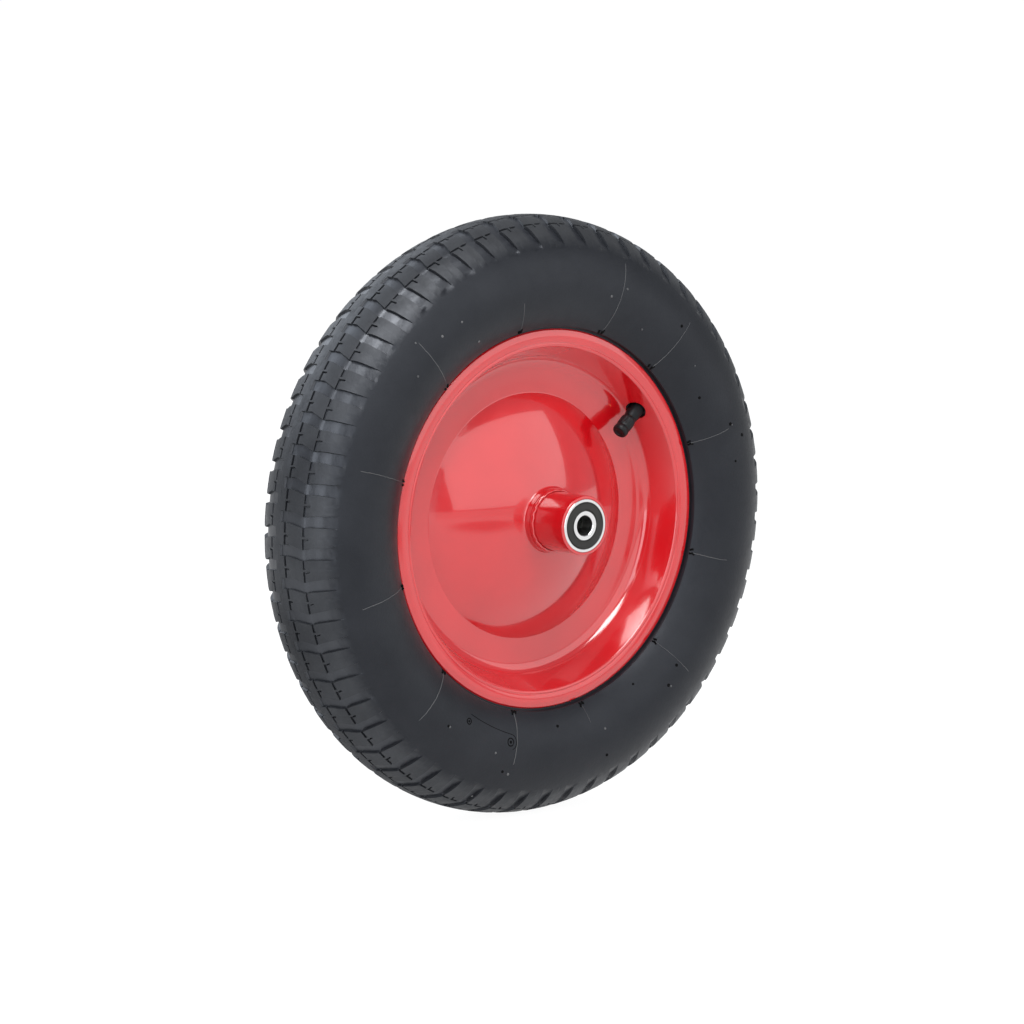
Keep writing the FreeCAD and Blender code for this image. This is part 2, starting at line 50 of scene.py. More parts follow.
# Places on the wheel are given as (r, theta, h): r from the axle in mm, theta in degrees from +X
# towards +Z, and h in mm from the mid plane towards the front face, which looks along -Y.
MM = 0.001
FRONT = Vector((0, -1, 0))

# Camera, fitted to the photo
CAMERA_AZIMUTH = -39.553
CAMERA_ELEVATION = 8.154
CAMERA_DISTANCE = 2.476
CAMERA_RIGHT_OFFSET = 0.004746
CAMERA_UP_OFFSET = -0.001553
CAMERA_FOCAL_PX = 1.67 * 2476.0
PICTURE_PX = 1024.0
SENSOR_MM = 36.0

# Tyre section; the skin lies a little inside the solid's outline, so that wear stays inside it too
TYRE_RADIUS = 180.0
SECTION_RADIUS = 38.6
SECTION_CENTRE = TYRE_RADIUS - SECTION_RADIUS
SKIN_RADIUS = SECTION_RADIUS - 0.06
BEAD_RADIUS = 115.1

# Rim: corners of the visible face line as (r, h, round), from the neck to the flange's edge
SHEET = 1.4
DOME_RADIUS = 125.8
DOME_APEX = 29.0
DOME_SPAN = (22.5, 71.5)
DOME_POINTS = 26
RIM_CORNERS_IN = [(19.3, 32.0, 0), (19.3, 27.55, 1.6)]
RIM_CORNERS_OUT = [
    (73.9, 4.9, 1.0), (93.9, 4.5, 8.5), (103.1, 25.9, 1.9), (104.5, 26.0, 0.6), (105.1, 25.65, 0.5),
    (105.8, 26.15, 0.6), (109.0, 26.7, 9.0), (112.8, 26.0, 0.8), (113.55, 25.1, 0),
]
RIM_STEPS = 300
TUBE_RADIUS = 17.7
VALVE_ANGLE = 36.4
VALVE_HEIGHT = 14.6
VALVE_TILT = 9.5
VALVE_HOLE = 12.6
WALL_FOOT = (93.9, 4.5)
WALL_SLOPE = (103.2 - 93.9) / (25.9 - 4.5)

# Valve lines as (radius, distance along its axis from the hole); the grip is ribbed
STEM_LINE = [
    (3.05, -7.0), (4.6, -7.0), (4.6, -1.0), (4.45, 2.0), (4.4, 5.0), (4.0, 6.6), (3.8, 7.8), (3.05, 7.8),
]
CAP_LINE = [
    (0, 19.2), (3.95, 19.2), (3.95, 8.3), (4.15, 8.3), (4.45, 9.0), (4.6, 9.9), (4.65, 10.6), (4.65, 14.6),
    (4.55, 15.2), (4.1, 15.8), (4.1, 16.6), (4.6, 17.2), (4.7, 18.0), (4.68, 19.2), (4.4, 20.1), (3.8, 20.6),
    (3.0, 20.7), (2.5, 20.6), (2.2, 20.1), (1.2, 19.9), (0, 19.9),
]
CAP_GRIP = (9.9, 15.2)
CAP_RIBS = 18
CAP_RIB_DEPTH = 0.05

# Marks on the sidewall as (theta, r)
MOULD_LINES = [
    (164.0, 118.0, 154.0), (133.0, 116.0, 154.5), (102.0, 117.0, 134.0), (70.5, 117.0, 159.0),
    (47.4, 116.5, 152.0), (18.6, 115.5, 141.0), (-15.2, 115.5, 138.0), (-45.0, 115.5, 144.0),
    (-78.4, 115.5, 127.0), (-104.5, 115.5, 146.5), (-135.0, 116.5, 151.0), (-165.8, 117.5, 152.0),
]
DARK_NIBS = [
    (49.3, 145.5), (30.5, 129.1), (19.5, 143.2), (15.4, 151.3), (10.0, 141.7), (-106.9, 151.7),
    (-89.6, 123.8), (-75.7, 150.2), (-59.8, 122.1), (-51.7, 138.3), (-46.3, 134.1), (-127.4, 141.4),
]
LIGHT_NIBS = [
    (69.2, 144.5), (73.5, 137.1), (59.4, 127.7), (38.9, 136.0), (19.1, 144.3), (-126.9, 141.3),
    (-110.8, 142.1), (-105.1, 152.6), (-74.7, 133.8), (-110.0, 170.0), (133.5, 155.7), (127.7, 146.4),
    (118.5, 126.0), (138.9, 142.9), (121.4, 144.4), (-51.3, 140.0),
]
PLATE_ENDS = ((-121.8, 131.4), (-106.6, 133.6))

# Tread pattern, measured along the surface: u in mm round the wheel from a slot's lower wall
PITCHES = 58
PITCH_DEG = 360.0 / PITCHES
PITCH_MM = math.radians(PITCH_DEG) * TYRE_RADIUS
FIRST_WALL_DEG = 0.583
SHOULDER_DEPTH = 2.1
CROWN_DEPTH = 1.4
LINE_DEPTH = 1.3
CENTRE_LINE_DEPTH = 1.1
WALL_RUN = 0.16


def place(r, theta, h):
    """Row frame position in metres of a place on the wheel; works on arrays too."""
    t = np.radians(theta)
    return np.stack(np.broadcast_arrays(r * np.cos(t) * MM, -h * MM, r * np.sin(t) * MM), axis=-1)


# Meshes


def new_mesh(name, vertices, faces, smooth_deg=None):
    """Mesh object from vertices and faces, smooth apart from edges sharper than the angle."""
    mesh = bpy.data.meshes.new(name)
    mesh.from_pydata([tuple(v) for v in vertices], [], [tuple(f) for f in faces])
    mesh.validate()
    obj = bpy.data.objects.new(name, mesh)
    bpy.context.scene.collection.objects.link(obj)
    if smooth_deg is not None:
        mesh.shade_smooth()
        mesh.set_sharp_from_angle(angle=math.radians(smooth_deg))
    return obj


def add(obj, material, body, replaced=()):
    """Gives a piece its material and the body it rides on, and hides the solids it replaces."""
    obj.data.materials.clear()
    obj.data.materials.append(material)
    if replaced:
        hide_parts(*replaced)
    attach(obj, body)
    return obj


def ring_strip(first, second, angles_first, angles_second):
    """Triangles between two closed rings of vertex numbers whose angles rise once round."""
    faces = []
    count_a, count_b = len(first), len(second)
    a = b = 0
    while a < count_a or b < count_b:
        next_a = angles_first[(a + 1) % count_a] + 360.0 * ((a + 1) // count_a)
        next_b = angles_second[(b + 1) % count_b] + 360.0 * ((b + 1) // count_b)
        if b >= count_b or (a < count_a and next_a <= next_b):
            faces.append((first[a % count_a], first[(a + 1) % count_a], second[b % count_b]))
            a += 1
        else:
            faces.append((first[a % count_a], second[(b + 1) % count_b], second[b % count_b]))
            b += 1
    return faces


# Tyre: one closed mesh. Each side has its own lattice, whose columns follow the slot walls and dashes.


def slot_walls(phi):
    """Where the slot's lower and upper wall stand at an angle phi round the section, in mm."""
    lower = np.interp(phi, [0, 9, 14.5, 28, 30, 34, 56], [-1.2, -1.4, -2.0, 0.9, 0.6, 0.0, -1.2])
    upper = np.interp(phi, [0, 9, 15, 28, 34, 56], [5.2, 4.9, 5.1, 7.3, 6.6, 6.6])
    return lower, upper


def slot_depth(phi):
    return np.interp(
        phi,
        [3.2, 4.0, 8, 26, 29, 33, 44, 48, 52, 57.4],
        [0.0, 1.2, CROWN_DEPTH, CROWN_DEPTH, 1.9, SHOULDER_DEPTH, SHOULDER_DEPTH, 1.5, 0.8, 0.0],
    )


# Rows of the tread from the middle to the shoulder: angle round the section and what is cut there
TREAD_ROWS = [
    (-1.5, "top"), (-1.3, "centre"), (0.1, "centre"), (0.35, "top"), (3.0, "top"), (4.0, "top"),
    (6.0, "top"), (7.9, "top"), (8.2, "lower"), (9.9, "lower"), (10.2, "tick_low"), (12.9, "tick_low"),
    (13.3, "top"), (14.6, "top"), (18.0, "top"), (21.5, "top"), (25.0, "top"), (27.3, "top"),
    (27.65, "upper"), (29.2, "upper"), (29.6, "tick_up"), (32.9, "tick_up"), (33.3, "top"),
    (35.5, "top"), (38.0, "top"), (40.5, "top"), (43.0, "top"), (45.0, "top"), (47.5, "top"),
    (50.0, "top"), (52.5, "top"), (55.0, "top"), (57.5, "top"),
]
COLUMNS = 13


def block_shares(phi):
    """Shares of a block where its columns stand: the ends of the dash, the run and the tick."""
    dash = np.interp(phi, [9, 28.5], [0.46, 0.38])
    run = np.interp(phi, [9, 28.5], [0.556, 0.505])
    tick = run + 0.065
    return [dash - 0.012, dash + 0.012, run - 0.012, run + 0.012, tick - 0.006, tick + 0.018, 0.76, 0.88]


def column_places(phi):
    """Places u of one pitch's columns in a row."""
    lower, upper = slot_walls(max(phi, 0.0))
    block = PITCH_MM - (upper - lower)
    places = [lower - WALL_RUN, lower + WALL_RUN, (lower + upper) / 2, upper - WALL_RUN, upper + WALL_RUN]
    places += [upper + share * block for share in block_shares(phi)]
    return places


DASH_COLUMNS = (4, 5)
RUN_COLUMNS = (8, 9, 10, 11, 12, 0)
TICK_COLUMNS = (8, 9)
SLOT_COLUMNS = (1, 2, 3)


def row_depths(phi, kind):
    """How deep each column of a row lies under the tread's outline."""
    depths = [0.0] * COLUMNS
    for column in SLOT_COLUMNS:
        depths[column] = float(slot_depth(phi))
    if kind == "centre":
        for column in SLOT_COLUMNS:
            depths[column] = CENTRE_LINE_DEPTH
    if kind in ("lower", "upper"):
        for column in DASH_COLUMNS + RUN_COLUMNS:
            depths[column] = LINE_DEPTH
        for column in SLOT_COLUMNS:
            depths[column] = max(depths[column], LINE_DEPTH)
    if kind in ("tick_low", "tick_up"):
        for column in TICK_COLUMNS:
            depths[column] = LINE_DEPTH
    return depths


def tread_rows(sign, phase_deg):
    """Vertices of one side's tread, a row after the other; sign 1 is the front, -1 the back."""
    rows = []
    for phi, kind in TREAD_ROWS:
        u = np.array(column_places(phi))
        depth = np.array(row_depths(phi, kind))
        angles = phase_deg + np.degrees(u / TYRE_RADIUS)
        theta = (angles[None, :] + PITCH_DEG * np.arange(PITCHES)[:, None]).ravel()
        sunk = np.tile(depth, PITCHES)
        top_wear = RANDOM.normal(0.0, 0.03, sunk.size)
        slot_wear = RANDOM.normal(0.0, 0.015, sunk.size)
        wear = np.where(sunk < 0.01, top_wear, slot_wear)
        rho = SKIN_RADIUS - sunk - np.clip(wear, -0.05, 0.05)
        angle = math.radians(phi)
        r = SECTION_CENTRE + rho * math.cos(angle)
        h = sign * rho * math.sin(angle)
        rows.append((theta, place(r, theta, h)))
    return rows


def surface_shares(r, h):
    """Two shares for each point: matt, 1 on the blocks' tops, and tread, 1 in the tread's band."""
    rho = np.hypot(r - SECTION_CENTRE, h)
    phi = np.degrees(np.arctan2(np.abs(h), r - SECTION_CENTRE))
    top = np.clip((rho - (SECTION_RADIUS - 0.6)) / 0.4, 0, 1)
    uneven = phi + RANDOM.normal(0.0, 1.2, len(phi))
    tread = np.interp(uneven, [44.0, 57.0], [1.0, 0.0])
    return top * tread, tread


# Smooth part of one side: the sidewall, the bead foot behind the flange, and the cavity up to the crown
SIDEWALL_DEG = [59, 62, 66, 71, 77, 83, 89, 95, 101, 107, 113, 119, 124, 129, 133.0]
BEAD_LINE = [(115.2, 27.9), (114.9, 27.2), (114.7, 25.0), (110.0, 24.85), (106.5, 24.8), (104.6, 23.4),
             (101.0, 15.75), (102.0, 15.6), (104.0, 15.7), (109.9, 15.8)]
CAVITY_CENTRE = 140.2
CAVITY_RADIUS = 33.4
CAVITY_DEG = [148, 140, 128, 114, 98, 80, 62, 44, 26, 8]
SMOOTH_COLUMNS = PITCHES * 6


def smooth_rows(sign):
    """Rows of the smooth part of one side, each with a vertex at even steps round."""
    profile = []
    for phi in SIDEWALL_DEG:
        angle = math.radians(phi)
        profile.append((SECTION_CENTRE + SKIN_RADIUS * math.cos(angle), SKIN_RADIUS * math.sin(angle)))
    profile += BEAD_LINE
    for phi in CAVITY_DEG:
        angle = math.radians(phi)
        profile.append((CAVITY_CENTRE + CAVITY_RADIUS * math.cos(angle), CAVITY_RADIUS * math.sin(angle)))
    theta = np.arange(SMOOTH_COLUMNS) * 360.0 / SMOOTH_COLUMNS
    return [(theta, place(r, theta, sign * h)) for r, h in profile]


def tyre_mesh():
    """The whole tyre as one closed skin."""
    vertices = []
    faces = []
    count = 0
    ends = []
    for sign, phase in ((1, FIRST_WALL_DEG), (-1, FIRST_WALL_DEG + PITCH_DEG / 2)):
        rings = []
        for theta, points in tread_rows(sign, phase) + smooth_rows(sign):
            order = np.argsort(theta % 360.0, kind="stable")
            numbers = count + np.arange(len(theta))
            rings.append((numbers[order], (theta % 360.0)[order], numbers))
            vertices.append(points)
            count += len(theta)
        made = []
        for (sorted_a, angles_a, raw_a), (sorted_b, angles_b, raw_b) in zip(rings, rings[1:]):
            if len(raw_a) == len(raw_b):
                ahead_a, ahead_b = np.roll(raw_a, -1), np.roll(raw_b, -1)
                made += list(zip(raw_a, ahead_a, ahead_b, raw_b))
            else:
                made += ring_strip(list(sorted_a), list(sorted_b), angles_a, angles_b)
        if sign < 0:
            made = [tuple(reversed(face)) for face in made]
        faces += made
        ends.append((rings[0], rings[-1]))
    (front_in, front_out), (back_in, back_out) = ends
    middle = ring_strip(list(front_in[0]), list(back_in[0]), front_in[1], back_in[1])
    faces += [tuple(reversed(face)) for face in middle]
    faces += ring_strip(list(front_out[0]), list(back_out[0]), front_out[1], back_out[1])
    return np.concatenate(vertices), faces


# Small pieces that lie on the tyre


def on_tyre(theta, r):
    """Point on the front sidewall and its outward normal."""
    out = r - SECTION_CENTRE
    rise = math.sqrt(SKIN_RADIUS ** 2 - out ** 2)
    t = math.radians(theta)
    radial = Vector((math.cos(t), 0, math.sin(t)))
    normal = (radial * out + Vector((0, -rise, 0))).normalized()
    point = radial * r * MM + Vector((0, -rise * MM, 0))
    return point, normal


def ribbon(path, width, height):
    """Low ridge that follows a path of (theta, r); returns vertices and faces."""
    spots = [on_tyre(theta, r) for theta, r in path]
    vertices, faces = [], []
    for i, (point, normal) in enumerate(spots):
        ahead = spots[min(i + 1, len(spots) - 1)][0] - spots[max(i - 1, 0)][0]
        side = normal.cross(ahead).normalized() * width * MM / 2
        taper = 0.35 if i in (0, len(spots) - 1) else 1.0
        low, high = point - normal * 0.0002, point + normal * height * MM * taper
        vertices += [low - side, high - side * 0.4 * taper, high + side * 0.4 * taper, low + side]
    for i in range(len(spots) - 1):
        a, b = 4 * i, 4 * i + 4
        for j in range(4):
            k = (j + 1) % 4
            faces.append((a + j, b + j, b + k, a + k))
    end = 4 * (len(spots) - 1)
    faces += [(0, 1, 2, 3), (end + 3, end + 2, end + 1, end)]
    return vertices, faces


def nib(theta, r, radius, height):
    """Small round pip, with its foot in the rubber."""
    point, normal = on_tyre(theta, r)
    side = normal.cross(Vector((0, 0, 1))).normalized()
    other = normal.cross(side)
    around, vertices, faces = 10, [], []
    for wide, high in ((1.0, -0.25), (1.0, 0.25), (0.8, 0.75), (0.4, 1.0)):
        for j in range(around):
            a = 2 * math.pi * j / around
            outward = side * math.cos(a) + other * math.sin(a)
            vertices.append(point + outward * radius * wide * MM + normal * height * high * MM)
    for i in range(3):
        for j in range(around):
            k = (j + 1) % around
            a, b = i * around, (i + 1) * around
            faces.append((a + j, a + k, b + k, b + j))
    faces.append(tuple(reversed(range(around))))
    faces.append(tuple(range(3 * around, 4 * around)))
    return vertices, faces


def joined(parts):
    """Vertices and faces of several closed parts as one list each."""
    vertices, faces = [], []
    for more, loops in parts:
        start = len(vertices)
        vertices += list(more)
        faces += [tuple(start + i for i in loop) for loop in loops]
    return vertices, faces


def nibs(places, smallest, largest, height):
    """Pips of uneven radius at places (theta, r)."""
    return joined([nib(theta, r, RANDOM.uniform(smallest, largest), height) for theta, r in places])


def mould_lines():
    """Thin raised lines across the sidewall, slightly bent, where the mould's parts met."""
    parts = []
    for theta, inner, outer in MOULD_LINES:
        bend = RANDOM.uniform(-0.25, 0.25)
        path = []
        for t in np.linspace(0, 1, 26):
            r = inner + (outer - inner) * t
            path.append((theta + bend * math.sin(3 * t) + RANDOM.normal(0, 0.025), r))
        parts.append(ribbon(path, RANDOM.uniform(0.42, 0.6), RANDOM.uniform(0.10, 0.2)))
    return joined(parts)


def flash_tabs():
    """Small tongues of flash beside the flange, at the inner end of each mould line."""
    parts = []
    for theta, _, _ in MOULD_LINES:
        for offset, length in ((-0.45, 2.6), (0.5, 1.8)):
            start = theta + offset + RANDOM.normal(0, 0.15)
            middle = (start + 0.2, BEAD_RADIUS + length / 2)
            tip = (start + 0.5 * offset, BEAD_RADIUS + length)
            parts.append(ribbon([(start, BEAD_RADIUS), middle, tip], 1.5, 1.1))
    return joined(parts)


def plate_outline():
    """Line round the small mould plate, whose face stays bare, and the two screw marks in it."""
    (theta_a, r_a), (theta_b, r_b) = PLATE_ENDS
    half = 4.6
    path = []
    for i in range(30):
        t = i / 30.0
        path.append((theta_a + (theta_b - theta_a) * t, r_a + (r_b - r_a) * t - half))
    for i in range(1, 24):
        a = -math.pi / 2 + math.pi * i / 24 * 0.9
        path.append((theta_b + math.degrees(half * math.cos(a) / r_b), r_b + half * math.sin(a)))
    parts = [ribbon(path, 0.5, 0.14)]
    for (theta, r), size in ((PLATE_ENDS[0], 1.7), (PLATE_ENDS[1], 2.3)):
        ring = []
        for i in range(25):
            a = 2 * math.pi * i / 24 + 0.4
            ring.append((theta + math.degrees(size * math.cos(a) / r), r + size * math.sin(a)))
        parts.append(ribbon(ring, 0.9, 0.18))
        parts.append(nib(theta, r, size * 0.42, 0.25))
    return joined(parts)


# Rim halves as smooth turned sheets


def filleted(corners):
    """Points along the corners (r, h, round), with an arc at each rounded corner."""
    points = [np.array(corners[0][:2], float)]
    for before, corner, after in zip(corners, corners[1:], corners[2:]):
        here = np.array(corner[:2], float)
        back = np.array(before[:2], float) - here
        ahead = np.array(after[:2], float) - here
        back, ahead = back / np.linalg.norm(back), ahead / np.linalg.norm(ahead)
        if corner[2] <= 0:
            points.append(here)
            continue
        half = math.acos(np.clip(back @ ahead, -1, 1)) / 2
        reach = corner[2] / math.tan(half)
        bisector = (back + ahead) / np.linalg.norm(back + ahead)
        centre = here + bisector * corner[2] / math.sin(half)
        first, last = here + back * reach - centre, here + ahead * reach - centre
        start = math.atan2(first[1], first[0])
        turn = (math.atan2(last[1], last[0]) - start + math.pi) % (2 * math.pi) - math.pi
        for t in np.linspace(0, 1, 9):
            angle = start + turn * t
            points.append(centre + corner[2] * np.array([math.cos(angle), math.sin(angle)]))
    points.append(np.array(corners[-1][:2], float))
    return points


def rim_face_points():
    """The visible face line of a rim half with its round dome."""
    dome = []
    for r in np.linspace(*DOME_SPAN, DOME_POINTS):
        dome.append((r, DOME_APEX - DOME_RADIUS + math.sqrt(DOME_RADIUS ** 2 - r ** 2), 0))
    return filleted(RIM_CORNERS_IN + dome + RIM_CORNERS_OUT)


def rim_mesh(sign):
    """One rim half as a closed turned sheet; sign 1 is the front."""
    face = rim_face_points()
    away = []
    for i, here in enumerate(face):
        ahead = face[min(i + 1, len(face) - 1)] - face[max(i - 1, 0)]
        normal = np.array([-ahead[1], ahead[0]]) / np.linalg.norm(ahead)
        away.append(here - normal * SHEET)
    loop = face + away[::-1]
    count = len(loop)
    theta = np.arange(RIM_STEPS) * 360.0 / RIM_STEPS
    vertices = np.concatenate([place(r, theta, sign * h) for r, h in loop])
    faces = []
    for i in range(count):
        j = (i + 1) % count
        for k in range(RIM_STEPS):
            m = (k + 1) % RIM_STEPS
            quad = (i * RIM_STEPS + k, j * RIM_STEPS + k, j * RIM_STEPS + m, i * RIM_STEPS + m)
            faces.append(quad if sign < 0 else quad[::-1])
    return vertices, faces


def valve_place():
    """Middle of the valve's hole in the front wall, with the way out from the axle there."""
    t = math.radians(VALVE_ANGLE)
    outward = Vector((math.cos(t), 0, math.sin(t)))
    root = outward * (WALL_FOOT[0] + (VALVE_HEIGHT - WALL_FOOT[1]) * WALL_SLOPE) + FRONT * VALVE_HEIGHT
    return root * MM, outward


def valve_piece(line, grip=(0.0, 0.0)):
    """Closed mesh turned round the valve's axis from a line that is closed or ends on the axis."""
    root, outward = valve_place()
    tilt = math.radians(VALVE_TILT)
    axis = FRONT * math.sin(tilt) - outward * math.cos(tilt)
    side = axis.cross(FRONT).normalized()
    other = axis.cross(side)
    around, vertices, rings = 144, [], []
    for radius, distance in line:
        ring = []
        for j in range(around if radius > 0 else 1):
            a = 2 * math.pi * j / around
            rib = 0.0
            if grip[0] < distance < grip[1]:
                rib = CAP_RIB_DEPTH * (0.5 - 0.5 * math.cos(CAP_RIBS * a))
            ring.append(len(vertices))
            out = (side * math.cos(a) + other * math.sin(a)) * radius * (1 - rib)
            vertices.append(root + (out + axis * distance) * MM)
        rings.append(ring)
    pairs = list(zip(rings, rings[1:]))
    if line[0][0] > 0:
        pairs.append((rings[-1], rings[0]))
    faces = []
    for one, two in pairs:
        for j in range(around):
            corners = (one[j % len(one)], one[(j + 1) % len(one)], two[(j + 1) % len(two)], two[j % len(two)])
            faces.append(tuple(dict.fromkeys(corners)))
    return vertices, faces


def cut_valve_hole(rim):
    """Cuts the valve's hole square to the wall of the front half."""
    root, outward = valve_place()
    slope = math.atan(WALL_SLOPE)
    normal = outward * math.cos(slope) - FRONT * math.sin(slope)
    bpy.ops.mesh.primitive_cylinder_add(vertices=64, radius=VALVE_HOLE / 2 * MM, depth=0.008, location=root)
    tool = bpy.context.object
    tool.rotation_mode = "QUATERNION"
    tool.rotation_quaternion = normal.to_track_quat("Z", "Y")
    cut = rim.modifiers.new("hole", "BOOLEAN")
    cut.object = tool
    cut.operation = "DIFFERENCE"
    cut.solver = "EXACT"
    bpy.context.view_layer.update()
    made = bpy.data.meshes.new_from_object(rim.evaluated_get(bpy.context.evaluated_depsgraph_get()))
    rim.modifiers.clear()
    rim.data = made
    bpy.data.objects.remove(tool)
    made.shade_smooth()
    made.set_sharp_from_angle(angle=math.radians(40))


# Materials


def principled(name, color, roughness, metallic=0.0):
    """New material with a principled shader; returns the material, its tree and the shader."""
    material = bpy.data.materials.new(name)
    material.use_nodes = True
    tree = material.node_tree
    shader = tree.nodes["Principled BSDF"]
    shader.inputs["Base Color"].default_value = (*color, 1.0)
    shader.inputs["Roughness"].default_value = roughness
    shader.inputs["Metallic"].default_value = metallic
    return material, tree, shader


def noise(tree, scale, detail=4.0, roughness=0.55):
    """Noise over the object's own coordinates, so that it turns with the piece."""
    place_node = tree.nodes.new("ShaderNodeTexCoord")
    made = tree.nodes.new("ShaderNodeTexNoise")
    made.inputs["Scale"].default_value = scale
    made.inputs["Detail"].default_value = detail
    made.inputs["Roughness"].default_value = roughness
    tree.links.new(place_node.outputs["Object"], made.inputs["Vector"])
    return made.outputs["Fac"]


def ramp(tree, source, low, high, value_low, value_high):
    """Maps a factor from low..high to value_low..value_high."""
    made = tree.nodes.new("ShaderNodeMapRange")
    made.inputs["From Min"].default_value = low
    made.inputs["From Max"].default_value = high
    made.inputs["To Min"].default_value = value_low
    made.inputs["To Max"].default_value = value_high
    tree.links.new(source, made.inputs["Value"])
    return made.outputs["Result"]


def color_mix(tree, factor, first, second):
    made = tree.nodes.new("ShaderNodeMix")
    made.data_type = "RGBA"
    made.inputs["A"].default_value = (*first, 1.0)
    made.inputs["B"].default_value = (*second, 1.0)
    tree.links.new(factor, made.inputs["Factor"])
    return made.outputs["Result"]


def value_mix(tree, factor, first, second):
    made = tree.nodes.new("ShaderNodeMix")
    tree.links.new(factor, made.inputs["Factor"])
    tree.links.new(first, made.inputs["A"])
    tree.links.new(second, made.inputs["B"])
    return made.outputs["Result"]


def add_bump(tree, shader, height, strength, distance):
    made = tree.nodes.new("ShaderNodeBump")
    made.inputs["Strength"].default_value = strength
    made.inputs["Distance"].default_value = distance
    tree.links.new(height, made.inputs["Height"])
    tree.links.new(made.outputs["Normal"], shader.inputs["Normal"])


def rubber_material(name, dark, light, rough_low, rough_high, shine=0.38):
    """Moulded rubber: slightly blotchy, matt to satin, with a fine grain."""
    material, tree, shader = principled(name, dark, rough_low)
    blotch = ramp(tree, noise(tree, 22.0, 5.0, 0.6), 0.35, 0.7, 0.0, 1.0)
    tree.links.new(color_mix(tree, blotch, dark, light), shader.inputs["Base Color"])
    fine = noise(tree, 160.0, 5.0, 0.65)
    tree.links.new(ramp(tree, fine, 0.3, 0.7, rough_low, rough_high), shader.inputs["Roughness"])
    add_bump(tree, shader, noise(tree, 700.0, 3.0, 0.6), 0.25, 0.0004)
    shader.inputs["Specular IOR Level"].default_value = shine
    shader.inputs["Specular Tint"].default_value = (0.92, 0.95, 1.0, 1.0)
    return material


def tyre_material():
    """Tyre rubber: glossier in the slots, satin on the sidewall, matt and dusty on the worn tops."""
    material, tree, shader = principled("tyre_rubber_look", (0.006, 0.0065, 0.0075), 0.4)
    share = tree.nodes.new("ShaderNodeAttribute")
    share.attribute_name = "matt"
    tread = tree.nodes.new("ShaderNodeAttribute")
    tread.attribute_name = "tread"
    blotch = noise(tree, 26.0, 6.0, 0.62)
    dusty = ramp(tree, blotch, 0.38, 0.68, 0.0, 1.0)
    smooth_color = color_mix(tree, dusty, (0.0054, 0.0061, 0.0084), (0.0098, 0.0106, 0.0134))
    matt_color = color_mix(tree, dusty, (0.0105, 0.0110, 0.0124), (0.0250, 0.0260, 0.0280))
    mix = tree.nodes.new("ShaderNodeMix")
    mix.data_type = "RGBA"
    tree.links.new(share.outputs["Fac"], mix.inputs["Factor"])
    tree.links.new(smooth_color, mix.inputs["A"])
    tree.links.new(matt_color, mix.inputs["B"])
    tree.links.new(mix.outputs["Result"], shader.inputs["Base Color"])
    fine = noise(tree, 150.0, 5.0, 0.65)
    side = ramp(tree, fine, 0.3, 0.7, 0.36, 0.46)
    slot = ramp(tree, fine, 0.3, 0.7, 0.34, 0.44)
    matt = ramp(tree, fine, 0.3, 0.7, 0.42, 0.60)
    smooth = value_mix(tree, tread.outputs["Fac"], side, slot)
    tree.links.new(value_mix(tree, share.outputs["Fac"], smooth, matt), shader.inputs["Roughness"])
    shine = tree.nodes.new("ShaderNodeMath")
    shine.operation = "MULTIPLY_ADD"
    shine.inputs[1].default_value = -0.38
    tree.links.new(share.outputs["Fac"], shine.inputs[0])
    tree.links.new(ramp(tree, tread.outputs["Fac"], 0.0, 1.0, 0.36, 1.0), shine.inputs[2])
    tree.links.new(shine.outputs["Value"], shader.inputs["Specular IOR Level"])
    add_bump(tree, shader, noise(tree, 600.0, 4.0, 0.6), 0.22, 0.0004)
    shader.inputs["Specular Tint"].default_value = (0.88, 0.92, 1.0, 1.0)
    shader.inputs["Sheen Weight"].default_value = 0.05
    shader.inputs["Sheen Roughness"].default_value = 0.3
    return material


def red_paint():
    """Gloss red enamel whose surface is slightly wavy."""
    material, tree, shader = principled("red_enamel", (0.49, 0.004, 0.008), 0.16)
    patches = ramp(tree, noise(tree, 30.0, 4.0, 0.5), 0.35, 0.65, 0.0, 1.0)
    enamel = color_mix(tree, patches, (0.47, 0.0035, 0.007), (0.51, 0.005, 0.009))
    tree.links.new(enamel, shader.inputs["Base Color"])
    tree.links.new(ramp(tree, noise(tree, 90.0, 3.0, 0.6), 0.3, 0.7, 0.12, 0.22), shader.inputs["Roughness"])
    shader.inputs["Specular IOR Level"].default_value = 0.5
    shader.inputs["Coat Weight"].default_value = 1.0
    shader.inputs["Coat Roughness"].default_value = 0.05
    shader.inputs["Coat IOR"].default_value = 1.66
    add_bump(tree, shader, noise(tree, 130.0, 2.0, 0.4), 0.10, 0.0006)
    return material


def metal(name, color, roughness):
    """Bare metal with an uneven polish."""
    material, tree, shader = principled(name, color, roughness, 1.0)
    polish = ramp(tree, noise(tree, 400.0, 4.0, 0.6), 0.3, 0.7, roughness * 0.8, roughness * 1.3)
    tree.links.new(polish, shader.inputs["Roughness"])
    return material


def plastic(name, color, roughness):
    """Moulded plastic with a fine grain."""
    material, tree, shader = principled(name, color, roughness)
    shader.inputs["Specular IOR Level"].default_value = 0.25
    add_bump(tree, shader, noise(tree, 900.0, 3.0, 0.6), 0.15, 0.0002)
    return material


# Weld beads: an uneven ring of overlapping drops round each neck
WELD_MIDDLE = 33.1
WELD_DROPS = 21
WELD_RIPPLE = 0.24


